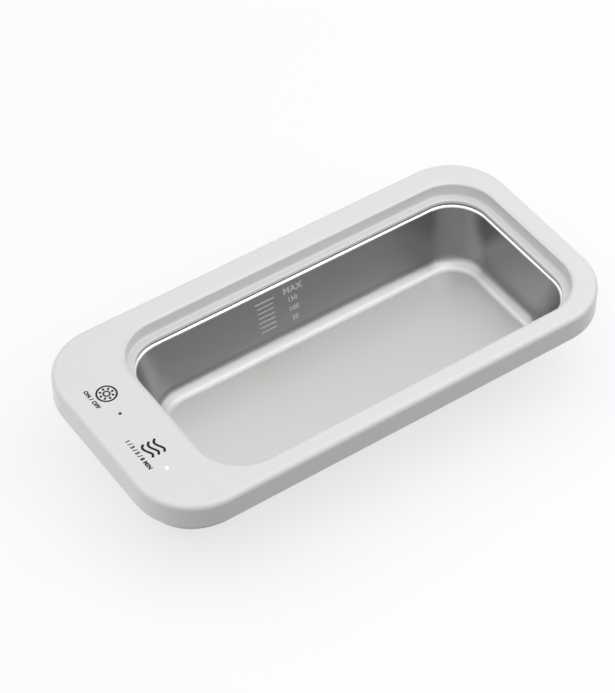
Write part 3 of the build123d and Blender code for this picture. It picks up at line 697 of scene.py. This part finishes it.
# ---- Key captions -------------------------------------------------------------------------
# The same ink in small capitals under each mark: on and off for the light, minutes for the
# cleaner. They read from the panel's end.
def lettering(name, words, size, spacing, weight, place, turn):
    """Flat words, centred on a place and turned to the side they are read from."""
    bpy.ops.object.select_all(action="DESELECT")
    bpy.ops.object.text_add(location=(0, 0, 0))
    text = bpy.context.object.data
    text.body = words
    text.size = size
    text.space_character = spacing
    text.offset = weight
    text.align_x = "CENTER"
    text.align_y = "CENTER"
    text.resolution_u = 4
    text.extrude = ink_depth / 2
    bpy.ops.object.convert(target="MESH")
    made = start(name)
    made.rotation_euler = turn
    made.location = place
    return made


caption_line = panel_end + 8.65 * MM
for name, words, caption_middle in (("uv_caption", "ON / OFF", 17.75 * MM),
                                    ("timer_caption", "1 / 3 / 5 / 8 MIN", -14.4 * MM)):
    caption = lettering(name, words, size=2.2 * MM, spacing=1.1, weight=0.13 * MM,
                        place=(caption_line, caption_middle, panel_top),
                        turn=(0, 0, math.radians(-90)))
    settle(caption, ink)


# ---- Tank scale ---------------------------------------------------------------------------
# Fill marks etched in the long wall: a fine pale matt bite in the steel. Each has its height
# above the table in millimetres, and every second one its word or the millilitres below it.
etched = moulding("etched_steel", (0.64, 0.64, 0.63),
                  roughness=0.55, grain=0.12 * MM, depth=0.004 * MM, unevenness=0.20)
wall_foot = Vector((0, 28.9, 11.6)) * MM
wall_head = Vector((0, 35.3, 36.4)) * MM
wall_lean = math.atan2(wall_head.z - wall_foot.z, wall_head.y - wall_foot.y)
tick_corner = 0.15 * MM


def on_wall(across, height):
    """A point on the tank's far wall."""
    share = (height - wall_foot.z) / (wall_head.z - wall_foot.z)
    return Vector((across, wall_foot.y + share * (wall_head.y - wall_foot.y), height))


def etched_tick(name, length, width):
    """A flat mark with rounded ends, lying level, with its middle at the origin."""
    bpy.ops.object.select_all(action="DESELECT")
    bpy.ops.mesh.primitive_plane_add(size=1.0, location=(0, 0, -ink_depth / 2))
    bpy.ops.object.mode_set(mode="EDIT")
    bpy.ops.transform.resize(value=(length, width, 1.0))
    bpy.ops.mesh.bevel(offset=tick_corner, segments=3, affect="VERTICES")
    raise_faces(ink_depth)
    made = start(name)
    bpy.ops.object.transform_apply(location=True, rotation=True, scale=True)
    return made


fill_levels = ((32.0, "MAX"), (29.9, ""), (27.8, "150"), (25.7, ""), (23.6, "100"), (21.5, ""),
               (19.4, "50"))
tick_middle = -6.5 * MM
ticks = []
for count, (level, words) in enumerate(fill_levels, start=1):
    tick_name = "fill_mark_%d" % count
    if words == "MAX":
        tick = etched_tick(tick_name, length=8.8 * MM, width=0.55 * MM)
    elif len(ticks) == 1:
        tick = etched_tick(tick_name, length=7.4 * MM, width=0.42 * MM)
    else:
        tick = copied(ticks[1], tick_name)
    tick.rotation_euler = (wall_lean, 0, 0)
    tick.location = on_wall(tick_middle, level * MM)
    ticks.append(tick)
    if words:
        tall, words_middle = (4.0 * MM, 6.6 * MM) if words == "MAX" else (2.9 * MM, 5.9 * MM)
        number = lettering("fill_number_%d" % count, words, size=tall, spacing=1.05,
                           weight=0.05 * MM, place=on_wall(words_middle, level * MM),
                           turn=(wall_lean, 0, 0))
        settle(number, etched)
for tick in ticks:
    settle(tick, etched)


# ---- Touch board's parts and lamps --------------------------------------------------------
# Foam pads carry the touch through the panel. Each lamp shines up a clear pin whose end is
# flush with the panel: the first is off and is painted black for the shade inside it, the second
# is lit and looks white.
dress(moulding("key_foam", (0.030, 0.030, 0.032),
               roughness=0.90, grain=0.25 * MM, depth=0.05 * MM),
      "touch_key_pad_1", "touch_key_pad_2")
dress(moulding("lamp_body", (0.74, 0.70, 0.48),
               roughness=0.35, grain=0.5 * MM, depth=0.005 * MM),
      "lamp_1", "lamp_2")
# Painted shade: the unlit clear pin is drawn as solid black plastic.
dress(moulding("pipe_dark", (0.010, 0.010, 0.011),
               roughness=0.15, grain=1.0 * MM, depth=0.001 * MM),
      "light_pipe_1")
lit = moulding("pipe_lit", (0.95, 0.95, 0.95),
               roughness=0.20, grain=1.0 * MM, depth=0.001 * MM)
cool_light = (0.92, 0.97, 1.0)
lit.set(Emission_Color=lit.tint(lit.noise(0.8 * MM), cool_light, plain_white),
        Emission_Strength=0.9)
dress(lit, "light_pipe_2")


# ---- Power inlet --------------------------------------------------------------------------
# A black moulded socket for a direct-current plug, pushed through the long wall, with a
# nickel-plated centre pin.
dress(moulding("inlet_plastic", (0.020, 0.020, 0.021),
               roughness=0.38, grain=0.4 * MM, depth=0.006 * MM),
      "power_inlet")
dress(metal("inlet_nickel", (0.66, 0.65, 0.62),
            roughness=0.18, grain=0.4 * MM, stretch=(1.0, 20.0, 1.0)),
      "inlet_pin")


# ---- Sprung contacts ----------------------------------------------------------------------
# Gold-plated barrels pressed into the recess wall. In each slides a round-nosed pin, on a
# spring, that feeds the lamp in the lid.
dress(metal("contact_gold", (0.83, 0.62, 0.25),
            roughness=0.20, grain=0.3 * MM, stretch=(12.0, 1.0, 1.0), depth=0.001 * MM),
      "contact_barrel_1", "contact_barrel_2", "contact_pin_1", "contact_pin_2")
